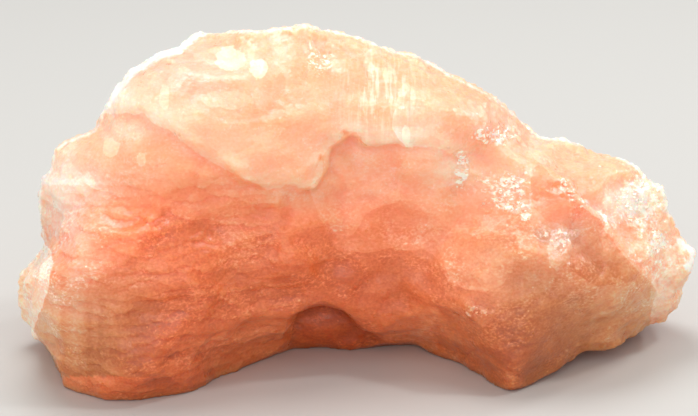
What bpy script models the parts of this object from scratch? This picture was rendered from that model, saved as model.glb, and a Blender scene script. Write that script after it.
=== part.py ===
"""Manganoan calcite specimen: one broken piece of massive pink calcite, standing on its flat underside.

The row frame has +Z up, X along the width and -Y towards the display side. The origin is at the middle of
the piece's box, on the surface that it stands on. Lengths are in millimetres here, and become metres as each
mesh is made.
"""

import itertools
import math
import random

import bmesh
import bpy
import numpy as np
from mathutils import Euler, Vector, kdtree, noise

MM = 0.001

# The display view, for which the outline and the broken edges below are laid out
DISPLAY_TILT = math.radians(20.0)
DISPLAY_DISTANCE = 520.0
DISPLAY_AIM = np.array([0.0, 0.0, 26.0])
OUTLINE_FOOT = -33.9  # the outline's lowest point, measured up the display plane from the aim
OUTLINE_CENTRE = np.array([0.0, 30.0])

UNION_VOXEL = 1.1
SKIN_VOXEL = 0.85
FINAL_VOXEL = 0.6
TRIANGLES = 9300

# Masses that have grown into each other: centre, half sizes, turn in degrees, squareness
MASSES = {
    "body_left": ((-25.0, 3.0, 22.0), (31.0, 24.0, 35.0), (0, 0, 0), 2.3),
    "body_middle": ((2.0, 6.0, 24.0), (31.0, 21.0, 32.0), (-6, 12, 0), 2.2),
    "body_right": ((26.0, 5.0, 13.0), (29.0, 20.0, 26.0), (0, 16, -4), 2.4),
    "left_lobe": ((-36.0, -8.0, 13.0), (19.5, 20.0, 25.0), (6, 0, 6), 2.3),
    "right_lobe": ((25.0, -6.0, 11.0), (18.5, 15.0, 20.0), (10, 8, -8), 2.3),
    "right_end": ((45.0, 6.0, 17.0), (14.0, 13.0, 16.0), (0, 20, -8), 2.5),
    "left_flake": ((-50.0, 7.0, 12.0), (10.0, 9.0, 13.0), (0, -8, 20), 2.6),
}
BLEND_PASSES = 15  # smoothing that turns the seams between masses into valleys

# The outline in the display plane: right of the middle, and up from the lowest point
OUTLINE = [
    (-60.0, 21.7), (-57.0, 25.4), (-55.2, 28.2), (-56.1, 31.2), (-56.2, 36.2), (-55.6, 39.2),  # left side
    (-54.0, 40.7), (-53.5, 44.2), (-51.2, 45.6), (-49.0, 46.8), (-46.3, 47.6), (-45.2, 50.0),  # shoulder
    (-44.6, 51.1), (-43.0, 54.4), (-39.8, 58.4), (-35.1, 61.3), (-31.6, 62.3), (-28.2, 65.0),  # cap
    (-23.8, 65.0), (-15.6, 65.4), (-12.3, 66.0), (-9.5, 66.4), (-5.7, 65.4), (0.7, 64.1),  # top
    (6.0, 61.9), (11.2, 60.7), (16.3, 57.7), (20.8, 55.6), (24.8, 53.3), (28.6, 49.9),  # right slope
    (32.6, 46.6), (34.6, 45.7), (37.4, 46.0), (41.9, 43.9), (48.0, 42.5), (51.6, 39.9),  # saddle, right end
    (54.6, 37.0), (55.6, 32.7), (57.9, 28.1), (59.9, 26.2), (59.2, 23.2), (57.2, 19.1),
    (56.7, 16.0), (54.3, 13.4), (53.0, 14.0), (49.3, 11.5), (46.9, 9.2), (42.6, 7.7),  # under the right end
    (39.6, 8.3), (36.0, 6.6), (31.9, 3.9), (25.7, 2.2), (22.3, 3.6), (16.1, 6.8),  # right foot
    (9.6, 9.5), (5.0, 8.8), (1.6, 8.2), (-4.1, 8.2), (-9.2, 8.8), (-14.2, 8.2),  # back of the notch
    (-17.5, 6.2), (-25.0, 3.6), (-31.2, 1.7), (-35.3, 0.7), (-38.7, 0.1), (-44.0, 0.0),  # left foot
    (-48.5, 0.7), (-51.2, 2.8), (-53.7, 6.1), (-55.7, 8.3), (-57.2, 10.6), (-57.6, 12.4),
    (-59.5, 14.8), (-60.0, 18.4),
]
FIT_FROM = 12.0  # the outline is fitted above this height, and the foot's front edge sets it below

# Where the foot's front edge runs on the floor, and the height from which the front face leans to it
FOOT_FRONT = [
    (-57.5, 2.0, 20.0), (-55.5, -4.0, 20.0), (-53.0, -13.0, 20.0), (-50.0, -20.5, 20.0), (-46.0, -25.5, 20.0),
    (-40.0, -27.0, 20.0), (-34.0, -25.5, 20.0), (-29.0, -21.7, 20.0), (-24.0, -17.6, 18.0),
    (-19.5, -12.9, 16.0), (-15.0, -8.0, 14.0), (-11.0, -5.4, 12.0), (-3.0, -4.6, 12.0), (6.0, -3.6, 12.0),
    (12.0, -4.8, 14.0), (17.0, -9.4, 18.0), (21.5, -16.5, 20.0), (24.5, -21.2, 22.0), (28.0, -21.4, 22.0),
    (32.0, -18.6, 22.0), (36.0, -13.6, 22.0), (40.0, -10.0, 22.0), (46.0, -8.0, 22.0), (50.0, -4.0, 22.0),
    (54.0, 0.0, 22.0), (57.0, 3.0, 22.0),
]

# The hollow under the front, as seen from the display side, and how far back its inner wall stands
HOLLOW = [
    (-12.4, -9.0), (-12.2, 8.5), (-11.2, 12.8), (-10.3, 15.4), (-8.0, 16.4), (-6.5, 17.6), (-5.0, 17.2),
    (-2.0, 15.6), (-0.3, 13.7), (2.0, 12.2), (5.0, 10.4), (9.5, 8.9), (11.0, -9.0),
]
HOLLOW_WALL = -3.8

# Cleavage faces at the back and under the right end: a point on each, and the way it faces
CLEAVAGES = [
    ((-30.0, 21.5, 30.0), (-0.35, 1.0, 0.3)),
    ((12.0, 23.5, 18.0), (0.16, 1.0, 0.04)),
    ((40.0, 15.5, 22.0), (0.8, 1.0, 0.35)),
    ((2.0, 19.0, 46.0), (0.1, 0.66, 1.0)),
    ((-49.0, 13.0, 10.0), (-1.0, 0.8, -0.1)),
    ((34.0, 0.0, 0.0), (0.2, 0.0, -1.0)),
]

# Broken layers that stand proud: the break's line, points that close it round the raised side, height, width
# of the broken edge, and how far behind the break the layer has thinned to nothing
LAYERS = {
    "cap": (
        [
            (-46.0, 50.6), (-44.4, 50.7), (-37.5, 50.6), (-36.0, 48.9), (-33.0, 47.7), (-29.5, 44.6),
            (-25.9, 42.2), (-18.7, 38.6), (-15.9, 37.2), (-13.7, 37.5), (-12.5, 38.2), (-10.2, 37.6),
            (-8.3, 37.5), (-7.1, 38.6), (-5.9, 40.5), (-5.9, 42.8), (-4.7, 44.8), (-3.3, 45.6), (-1.9, 47.4),
            (0.0, 47.5), (0.9, 45.9), (2.3, 44.8), (4.9, 45.0), (7.3, 45.4), (8.7, 44.7), (10.6, 44.9),
            (14.5, 44.5), (20.0, 42.0),
        ],
        [(30.0, 39.0), (34.0, 75.0), (-60.0, 75.0), (-60.0, 49.0)],
        2.7,
        0.9,
        20.0,
    ),
    "right_front": (
        [
            (30.9, 43.7), (35.1, 39.2), (36.3, 38.5), (40.1, 34.3), (41.9, 32.7), (43.5, 31.8), (44.2, 29.8),
            (45.8, 28.0), (47.3, 25.9), (48.8, 24.1), (50.6, 22.4), (52.4, 20.6), (53.4, 19.0), (52.7, 17.0),
            (52.4, 14.6),
        ],
        [(50.0, 0.0), (5.0, 0.0), (5.0, 30.0), (22.0, 46.0)],
        2.4,
        1.1,
        16.0,
    ),
    "left_front": (
        [(-52.2, 31.0), (-52.4, 28.0), (-53.0, 24.7), (-54.6, 19.3), (-55.8, 15.8), (-56.8, 12.2)],
        [(-52.0, 4.0), (-30.0, 4.0), (-30.0, 38.0), (-50.0, 36.0)],
        2.1,
        1.2,
        12.0,
    ),
}

LAYER_TAPER = 9.0  # length over which a break's line dies away at its ends

# Broken facets over the whole surface: spacing, deepest cut and tilt
FACETS = (8.0, 0.8, 0.1)
FACET_END = 7.0  # how soon a facet's plane stops counting beyond its own patch
CREASE = 0.16  # rounding of the ridges between facets
# Rounded bumps: size and height
RELIEF = [(15.0, 0.8), (5.5, 0.4)]
# Long low ridges, which run round the piece
RIDGE_LENGTH, RIDGE_SPACING, RIDGE_HEIGHT = 16.0, 7.0, 0.9
SEED = 13

SHARP_ANGLE = 30.0
CALCITE_COLOUR = (0.86, 0.4, 0.24, 1.0)
CALCITE_ROUGHNESS = 0.35


def display_axes():
    """Right, up and towards the viewer, as unit vectors."""
    right = np.array([1.0, 0.0, 0.0])
    up = np.array([0.0, math.sin(DISPLAY_TILT), math.cos(DISPLAY_TILT)])
    towards = np.array([0.0, -math.cos(DISPLAY_TILT), math.sin(DISPLAY_TILT)])
    return right, up, towards


def displayed(points):
    """Where points are seen on the display plane, with the outline's zero height, and their magnification."""
    right, up, towards = display_axes()
    offset = points - DISPLAY_AIM
    nearer = DISPLAY_DISTANCE / (DISPLAY_DISTANCE - offset @ towards)
    seen = np.stack([offset @ right * nearer, offset @ up * nearer - OUTLINE_FOOT], axis=1)
    return seen, nearer


def smooth_step(low, high, value):
    share = np.clip((value - low) / (high - low), 0.0, 1.0)
    return share * share * (3.0 - 2.0 * share)


def get_points(obj):
    points = np.empty(len(obj.data.vertices) * 3)
    obj.data.vertices.foreach_get("co", points)
    return points.reshape(-1, 3) / MM


def get_normals(obj):
    normals = np.empty(len(obj.data.vertices) * 3)
    obj.data.vertex_normals.foreach_get("vector", normals)
    return normals.reshape(-1, 3)


def set_points(obj, points):
    obj.data.vertices.foreach_set("co", (points * MM).ravel())
    obj.data.update()


def boulder(bm, centre, half_sizes, turn, squareness):
    """Adds a rounded block: an ellipsoid at squareness 2, closer to a box above it."""
    made = bmesh.ops.create_icosphere(bm, subdivisions=5, radius=1.0)["verts"]
    spin = Euler([math.radians(angle) for angle in turn]).to_matrix()
    for vert in made:
        length = sum(abs(c) ** squareness for c in vert.co) ** (1.0 / squareness)
        block = Vector([c / length * half for c, half in zip(vert.co, half_sizes)])
        vert.co = (spin @ block + Vector(centre)) * MM


def mesh_object(name, bm):
    mesh = bpy.data.meshes.new(name)
    bm.to_mesh(mesh)
    bm.free()
    obj = bpy.data.objects.new(name, mesh)
    bpy.context.scene.collection.objects.link(obj)
    return obj


def apply_modifiers(obj):
    """Keeps what the modifiers make as the object's own mesh."""
    graph = bpy.context.evaluated_depsgraph_get()
    made = bpy.data.meshes.new_from_object(obj.evaluated_get(graph))
    obj.modifiers.clear()
    obj.data = made


def voxel_skin(obj, voxel):
    remesh = obj.modifiers.new("voxel_skin", "REMESH")
    remesh.mode = "VOXEL"
    remesh.voxel_size = voxel * MM
    apply_modifiers(obj)


def soften(obj, passes):
    smooth = obj.modifiers.new("soften", "SMOOTH")
    smooth.factor = 0.5
    smooth.iterations = passes
    apply_modifiers(obj)


def line_distance(seen, line):
    """Distance to an open line."""
    nearest = np.full(len(seen), np.inf)
    for start, end in zip(line[:-1], line[1:]):
        along = end - start
        share = np.clip((seen - start) @ along / (along @ along), 0.0, 1.0)
        nearest = np.minimum(nearest, np.linalg.norm(seen - start - share[:, None] * along, axis=1))
    return nearest


def is_inside(seen, loop):
    inside = np.zeros(len(seen), bool)
    for start, end in zip(loop, np.roll(loop, -1, axis=0)):
        crosses = (start[1] > seen[:, 1]) != (end[1] > seen[:, 1])
        rise = end[1] - start[1] or 1e-9
        inside ^= crosses & (seen[:, 0] < start[0] + (seen[:, 1] - start[1]) * (end[0] - start[0]) / rise)
    return inside


def lean_to_foot(obj):
    """Leans the lower front face in or out, so that it meets the floor along the foot's front edge."""
    points = get_points(obj)
    columns = np.arange(-58.0, 58.5)
    floor = points[np.abs(points[:, 2]) < 1.5]
    made = np.array([floor[np.abs(floor[:, 0] - x) < 1.5][:, 1].min(initial=8.0) for x in columns])
    foot = np.array(FOOT_FRONT)
    wanted = np.interp(columns, foot[:, 0], foot[:, 1])
    shift = np.interp(points[:, 0], columns, wanted - made)
    reach = np.interp(points[:, 0], foot[:, 0], foot[:, 2])
    low = 1.0 - smooth_step(0.0, 1.0, points[:, 2] / reach)
    front = 1.0 - smooth_step(-2.0, 14.0, points[:, 1])
    points[:, 1] += shift * low * front
    set_points(obj, points)


def fit_outline(obj, broad, fine):
    """Draws the surface out or in until its outline, seen from the display side, is the one above.

    The broad passes move whole flanks, and the fine passes only the rim.
    """
    bins = 360
    turns = (np.arange(bins) + 0.5) / bins * 2 * math.pi
    corners = np.array(OUTLINE)
    steps = np.linspace(0.0, 1.0, 8, endpoint=False)[:, None]
    line = np.concatenate([a + (b - a) * steps for a, b in zip(corners, np.roll(corners, -1, axis=0))])
    line -= OUTLINE_CENTRE
    angle = np.arctan2(line[:, 1], line[:, 0]) % (2 * math.pi)
    order = np.argsort(angle)
    wanted = np.interp(turns, angle[order], np.hypot(*line.T)[order], period=2 * math.pi)
    fitted = smooth_step(FIT_FROM - 4.0, FIT_FROM, OUTLINE_CENTRE[1] + wanted * np.sin(turns))
    spread = np.exp(-0.5 * (np.arange(-40, 41) / 12.0) ** 2)
    spread /= spread.sum()
    for broadly in [True] * broad + [False] * fine:
        points = get_points(obj)
        seen, nearer = displayed(points)
        seen -= OUTLINE_CENTRE
        turn = np.arctan2(seen[:, 1], seen[:, 0]) % (2 * math.pi)
        reach = np.hypot(*seen.T)
        above = points[:, 2] > 0.0
        widest = np.zeros(bins)
        np.maximum.at(widest, (turn[above] / (2 * math.pi) * bins).astype(int), reach[above])
        widest = (np.roll(widest, 1) + 2.0 * widest + np.roll(widest, -1)) / 4.0
        change = (wanted / widest - 1.0) * fitted
        if broadly:
            change = np.convolve(np.concatenate([change[-40:], change, change[:40]]), spread, "valid")
        pull = np.interp(turn, turns, change, period=2 * math.pi)
        rim = np.interp(turn, turns, widest, period=2 * math.pi)
        pull *= np.clip(reach / rim, 0.0, 1.0) ** (2.5 if broadly else 9.0)
        across, up = (seen * pull[:, None] / nearer[:, None]).T
        points[:, 0] += across
        points[:, 2] += smooth_step(0.0, 10.0, points[:, 2]) * up / math.cos(DISPLAY_TILT)
        set_points(obj, points)


def carve_hollow(obj):
    """Cuts the hollow along the display direction, back to its inner wall."""
    right, up, towards = display_axes()
    bm = bmesh.new()
    rings = []
    for plane in (-60.0, HOLLOW_WALL):
        ring = []
        for across, height in HOLLOW:
            base = DISPLAY_AIM + right * across + up * (height + OUTLINE_FOOT)
            lean = 0.25 * (height - 9.0) if plane == HOLLOW_WALL else 0.0
            point = base + towards * ((plane - lean - base[1]) / towards[1])
            ring.append(bm.verts.new(Vector(point) * MM))
        rings.append(ring)
    bm.faces.new(rings[0])
    bm.faces.new(reversed(rings[1]))
    for i in range(len(HOLLOW)):
        j = (i + 1) % len(HOLLOW)
        bm.faces.new([rings[0][j], rings[0][i], rings[1][i], rings[1][j]])
    bmesh.ops.recalc_face_normals(bm, faces=bm.faces)
    cutter = mesh_object("hollow_cutter", bm)
    cut = obj.modifiers.new("hollow", "BOOLEAN")
    cut.operation = "DIFFERENCE"
    cut.solver = "EXACT"
    cut.object = cutter
    apply_modifiers(obj)
    bpy.data.objects.remove(cutter)


def cut_flat(obj, point, facing):
    """Cuts the piece off along a plane, and keeps what is behind it."""
    outwards = Vector(facing).normalized()
    bm = bmesh.new()
    bm.from_mesh(obj.data)
    geometry = bm.verts[:] + bm.edges[:] + bm.faces[:]
    bmesh.ops.bisect_plane(
        bm, geom=geometry, plane_co=Vector(point) * MM, plane_no=outwards, clear_outer=True
    )
    rim = [edge for edge in bm.edges if edge.is_boundary]
    bmesh.ops.triangle_fill(bm, use_beauty=True, edges=rim, normal=outwards)
    bm.to_mesh(obj.data)
    bm.free()


def raise_layers(obj):
    """Lifts each broken layer off the surface under it, on the side that is displayed."""
    towards = display_axes()[2]
    for line, closing, height, edge, fade in LAYERS.values():
        points = get_points(obj)
        normals = get_normals(obj)
        seen = displayed(points)[0]
        distance = line_distance(seen, np.array(line))
        within = np.where(is_inside(seen, np.array(line + closing)), distance, -distance)
        lift = smooth_step(-edge / 2, edge / 2, within) * (1.0 - smooth_step(0.0, fade, distance))
        lift *= smooth_step(0.0, LAYER_TAPER, line_distance(seen, np.array(line[-1:] + closing + line[:1])))
        lift *= smooth_step(-0.35, 0.05, normals @ towards)
        set_points(obj, points + normals * (lift * height)[:, None])


def spaced_picks(points, spacing, chance):
    """Picks points at random, none within the spacing of another."""
    order = list(range(len(points)))
    chance.shuffle(order)
    picks = []
    cells = {}
    for index in order:
        i, j, k = (int(c // spacing) for c in points[index])
        near = [
            other
            for cell in itertools.product((i - 1, i, i + 1), (j - 1, j, j + 1), (k - 1, k, k + 1))
            for other in cells.get(cell, ())
        ]
        if all(np.linalg.norm(points[index] - points[other]) > spacing for other in near):
            cells.setdefault((i, j, k), []).append(index)
            picks.append(index)
    return picks


def break_facets(obj):
    """Flattens the surface into broken facets that meet along low ridges."""
    spacing, deepest, tilt = FACETS
    chance = random.Random(SEED)
    points = get_points(obj)
    normals = get_normals(obj)
    seeds = spaced_picks(points, spacing, chance)
    tree = kdtree.KDTree(len(seeds))
    for number, index in enumerate(seeds):
        tree.insert(points[index], number)
    tree.balance()
    planes = []
    for index in seeds:
        facing = Vector(normals[index]) + Vector([chance.gauss(0.0, tilt) for _ in range(3)])
        planes.append((Vector(points[index]), facing.normalized()))
    moved = points.copy()
    for index, point in enumerate(points):
        here = Vector(point)
        crease = 0.0
        for _, number, distance in tree.find_n(here, 12):
            centre, facing = planes[number]
            beyond = max(0.0, distance / spacing - 0.7)
            drop = (centre - here).dot(facing) + FACET_END * beyond ** 2
            crease += math.exp(-drop / CREASE)
        moved[index] += normals[index] * max(-CREASE * math.log(crease), -deepest)
    set_points(obj, moved)


def add_relief(obj):
    """Adds rounded bumps, and the long ridges."""
    points = get_points(obj)
    normals = get_normals(obj)
    stretch = Vector((1.0 / RIDGE_LENGTH, 1.0 / RIDGE_LENGTH, 1.0 / RIDGE_SPACING))
    height = np.zeros(len(points))
    for index, point in enumerate(points):
        here = Vector(point)
        height[index] = RIDGE_HEIGHT * (0.5 - 2.0 * abs(noise.noise(here * stretch)))
        for size, rise in RELIEF:
            height[index] += rise * noise.noise(here / size + Vector((size, 0.0, 0.0)))
    set_points(obj, points + normals * height[:, None])


def simplify(obj):
    decimate = obj.modifiers.new("simplify", "DECIMATE")
    decimate.ratio = TRIANGLES / (2.0 * len(obj.data.vertices))
    apply_modifiers(obj)


def make_specimen():
    bm = bmesh.new()
    for mass in MASSES.values():
        boulder(bm, *mass)
    obj = mesh_object("calcite", bm)
    voxel_skin(obj, UNION_VOXEL)
    soften(obj, BLEND_PASSES)
    lean_to_foot(obj)
    fit_outline(obj, 3, 0)
    for point, facing in CLEAVAGES:
        cut_flat(obj, point, facing)
    carve_hollow(obj)
    voxel_skin(obj, SKIN_VOXEL)
    soften(obj, 2)
    break_facets(obj)
    soften(obj, 1)
    add_relief(obj)
    raise_layers(obj)
    fit_outline(obj, 0, 2)
    voxel_skin(obj, FINAL_VOXEL)
    cut_flat(obj, (0.0, 0.0, -1.5), (0.0, 0.0, -1.0))
    simplify(obj)
    cut_flat(obj, (0.0, 0.0, 0.0), (0.0, 0.0, -1.0))
    return obj


def centre_on_base(obj):
    points = get_points(obj)
    middle = (points.min(axis=0) + points.max(axis=0)) / 2.0
    middle[2] = 0.0
    set_points(obj, points - middle)


def finish_surface(obj):
    obj.data.shade_smooth()
    obj.data.set_sharp_from_angle(angle=math.radians(SHARP_ANGLE))
    calcite = bpy.data.materials.new("calcite")
    calcite.use_nodes = True
    shader = calcite.node_tree.nodes["Principled BSDF"]
    shader.inputs["Base Color"].default_value = CALCITE_COLOUR
    shader.inputs["Roughness"].default_value = CALCITE_ROUGHNESS
    shader.inputs["Metallic"].default_value = 0.0
    obj.data.materials.clear()
    obj.data.materials.append(calcite)


def main():
    for obj in list(bpy.data.objects):
        bpy.data.objects.remove(obj)
    specimen = make_specimen()
    centre_on_base(specimen)
    finish_surface(specimen)


main()
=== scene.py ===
import math

import bmesh
import bpy
import numpy as np
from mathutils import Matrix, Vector
from mathutils.bvhtree import BVHTree


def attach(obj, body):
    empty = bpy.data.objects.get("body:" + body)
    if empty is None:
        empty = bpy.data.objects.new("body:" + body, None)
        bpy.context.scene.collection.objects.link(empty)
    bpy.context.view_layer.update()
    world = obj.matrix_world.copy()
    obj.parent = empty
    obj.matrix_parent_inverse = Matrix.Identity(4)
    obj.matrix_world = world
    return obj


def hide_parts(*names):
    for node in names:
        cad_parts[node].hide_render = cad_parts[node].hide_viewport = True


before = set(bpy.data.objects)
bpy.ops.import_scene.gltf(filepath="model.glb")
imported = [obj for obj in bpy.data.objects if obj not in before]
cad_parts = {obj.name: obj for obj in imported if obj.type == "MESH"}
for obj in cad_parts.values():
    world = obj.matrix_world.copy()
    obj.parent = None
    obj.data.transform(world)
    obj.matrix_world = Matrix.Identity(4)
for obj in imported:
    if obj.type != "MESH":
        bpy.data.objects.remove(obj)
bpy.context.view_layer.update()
scene = bpy.context.scene
mm = 0.001

# The front is looked at along this direction. The broken edges and tints below are placed in that
# view: across from the middle and up from the outline's lowest point, in millimetres
frontView = {
    "tilt": math.radians(20),
    "distance": 520.0,
    "aim": (0.1, 0.64, 26.0),
    "foot": -33.9,
    "width": 123.9,  # what the frame takes in at the aim
    "shift": -0.01,
}
viewUp = np.array([0.0, math.sin(frontView["tilt"]), math.cos(frontView["tilt"])])
viewTowards = np.array([0.0, -math.cos(frontView["tilt"]), math.sin(frontView["tilt"])])


# Node building. Sums and products of Link values add their Math nodes
class Link:
    def __init__(self, tree, socket):
        self.tree = tree
        self.socket = socket

    def out(self, name):
        return Link(self.tree, self.socket.node.outputs[name])

    def math(self, operation, *values):
        settings = {"operation": operation}
        return addNode(self.tree, "ShaderNodeMath", settings, dict(enumerate(values)))

    def __add__(self, other):
        return self.math("ADD", self, other)

    def __sub__(self, other):
        return self.math("SUBTRACT", self, other)

    def __rsub__(self, other):
        return self.math("SUBTRACT", other, self)

    def __mul__(self, other):
        return self.math("MULTIPLY", self, other)

    def __rtruediv__(self, other):
        return self.math("DIVIDE", other, self)

    def __abs__(self):
        return self.math("ABSOLUTE", self)

    __radd__ = __add__
    __rmul__ = __mul__


def addNode(tree, kind, settings=None, sockets=None):
    node = tree.nodes.new(kind)
    for name, value in (settings or {}).items():
        if name == "stops":
            setStops(node.color_ramp, value)
        else:
            setattr(node, name, value)
    for name, value in (sockets or {}).items():
        if isinstance(value, Link):
            tree.links.new(value.socket, node.inputs[name])
        else:
            node.inputs[name].default_value = value
    return Link(tree, node.outputs[0] if len(node.outputs) else None)


def setStops(ramp, stops):
    while len(ramp.elements) < len(stops):
        ramp.elements.new(1.0)
    for element, (place, colour) in zip(ramp.elements, stops):
        element.position = place
        element.color = linear(colour)


def linear(colour):
    # screen colour, 0 to 255, as the shader's linear colour
    shares = [level / 255 for level in colour]
    return [s / 12.92 if s < 0.0404 else ((s + 0.055) / 1.055) ** 2.4 for s in shares] + [1.0]


def mixColours(tree, share, first, second, blend="MIX"):
    # a Mix node's colours are its sockets 6 and 7, and its output 2
    settings = {"data_type": "RGBA", "blend_type": blend, "clamp_factor": True}
    return addNode(tree, "ShaderNodeMix", settings, {0: share, 6: first, 7: second}).out(2)


def vectorMath(tree, operation, *values):
    settings = {"operation": operation}
    return addNode(tree, "ShaderNodeVectorMath", settings, dict(enumerate(values)))


def scaled(tree, vector, factor):
    sockets = {"Vector": vector, "Scale": factor}
    return addNode(tree, "ShaderNodeVectorMath", {"operation": "SCALE"}, sockets)


def separated(tree, vector):
    return addNode(tree, "ShaderNodeSeparateXYZ", None, {"Vector": vector})


# Mesh helpers. Points are read and written in millimetres
def getPoints(piece):
    points = np.empty(len(piece.data.vertices) * 3)
    piece.data.vertices.foreach_get("co", points)
    return points.reshape(-1, 3) / mm


def getNormals(piece):
    normals = np.empty(len(piece.data.vertices) * 3)
    piece.data.vertex_normals.foreach_get("vector", normals)
    return normals.reshape(-1, 3)


def setPoints(piece, points):
    piece.data.vertices.foreach_set("co", (points * mm).ravel())
    piece.data.update()


def keepResult(piece):
    graph = bpy.context.evaluated_depsgraph_get()
    made = bpy.data.meshes.new_from_object(piece.evaluated_get(graph))
    piece.modifiers.clear()
    piece.data = made


def setInputs(modifier, sizes):
    for socket in modifier.node_group.interface.items_tree:
        if socket.in_out == "INPUT" and socket.name in sizes:
            modifier[socket.identifier] = type(socket.default_value)(sizes[socket.name])


def addAttribute(piece, name, values):
    attribute = piece.data.attributes.new(name, "FLOAT", "POINT")
    attribute.data.foreach_set("value", np.asarray(values, np.float32))


def softStep(low, high, value):
    share = np.clip((value - low) / (high - low), 0.0, 1.0)
    return share * share * (3.0 - 2.0 * share)


# Places in the front view
def seenFromFront(points):
    offset = points - np.array(frontView["aim"])
    nearer = frontView["distance"] / (frontView["distance"] - offset @ viewTowards)
    return np.stack([offset[:, 0] * nearer, offset @ viewUp * nearer - frontView["foot"]], axis=1)


def lineDistance(seen, line):
    line = np.array(line)
    nearest = np.full(len(seen), np.inf)
    for start, end in zip(line[:-1], line[1:]):
        along = end - start
        share = np.clip((seen - start) @ along / (along @ along), 0.0, 1.0)
        distance = np.linalg.norm(seen - start - share[:, None] * along, axis=1)
        nearest = np.minimum(nearest, distance)
    return nearest


def isInside(seen, loop):
    across, up = seen.T
    loop = np.array(loop)
    inside = np.zeros(len(seen), bool)
    for start, end in zip(loop, np.roll(loop, -1, axis=0)):
        crosses = (start[1] > up) != (end[1] > up)
        rise = end[1] - start[1] or 1e-9
        inside ^= crosses & (across < start[0] + (up - start[1]) * (end[0] - start[0]) / rise)
    return inside


def edgeDepth(seen, name):
    # over 0 inside the edge's loop, measured to its line alone
    line, closing = plateEdges[name]["line"], plateEdges[name]["closing"]
    distance = lineDistance(seen, line)
    return np.where(isInside(seen, line + closing), distance, -distance)


def spotShare(seen, middle, reach):
    return np.exp(-(((seen - middle) / reach) ** 2).sum(axis=1))


def widestShare(seen, spots):
    return np.max([spotShare(seen, *spot) for spot in spots.values()], axis=0)


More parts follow.
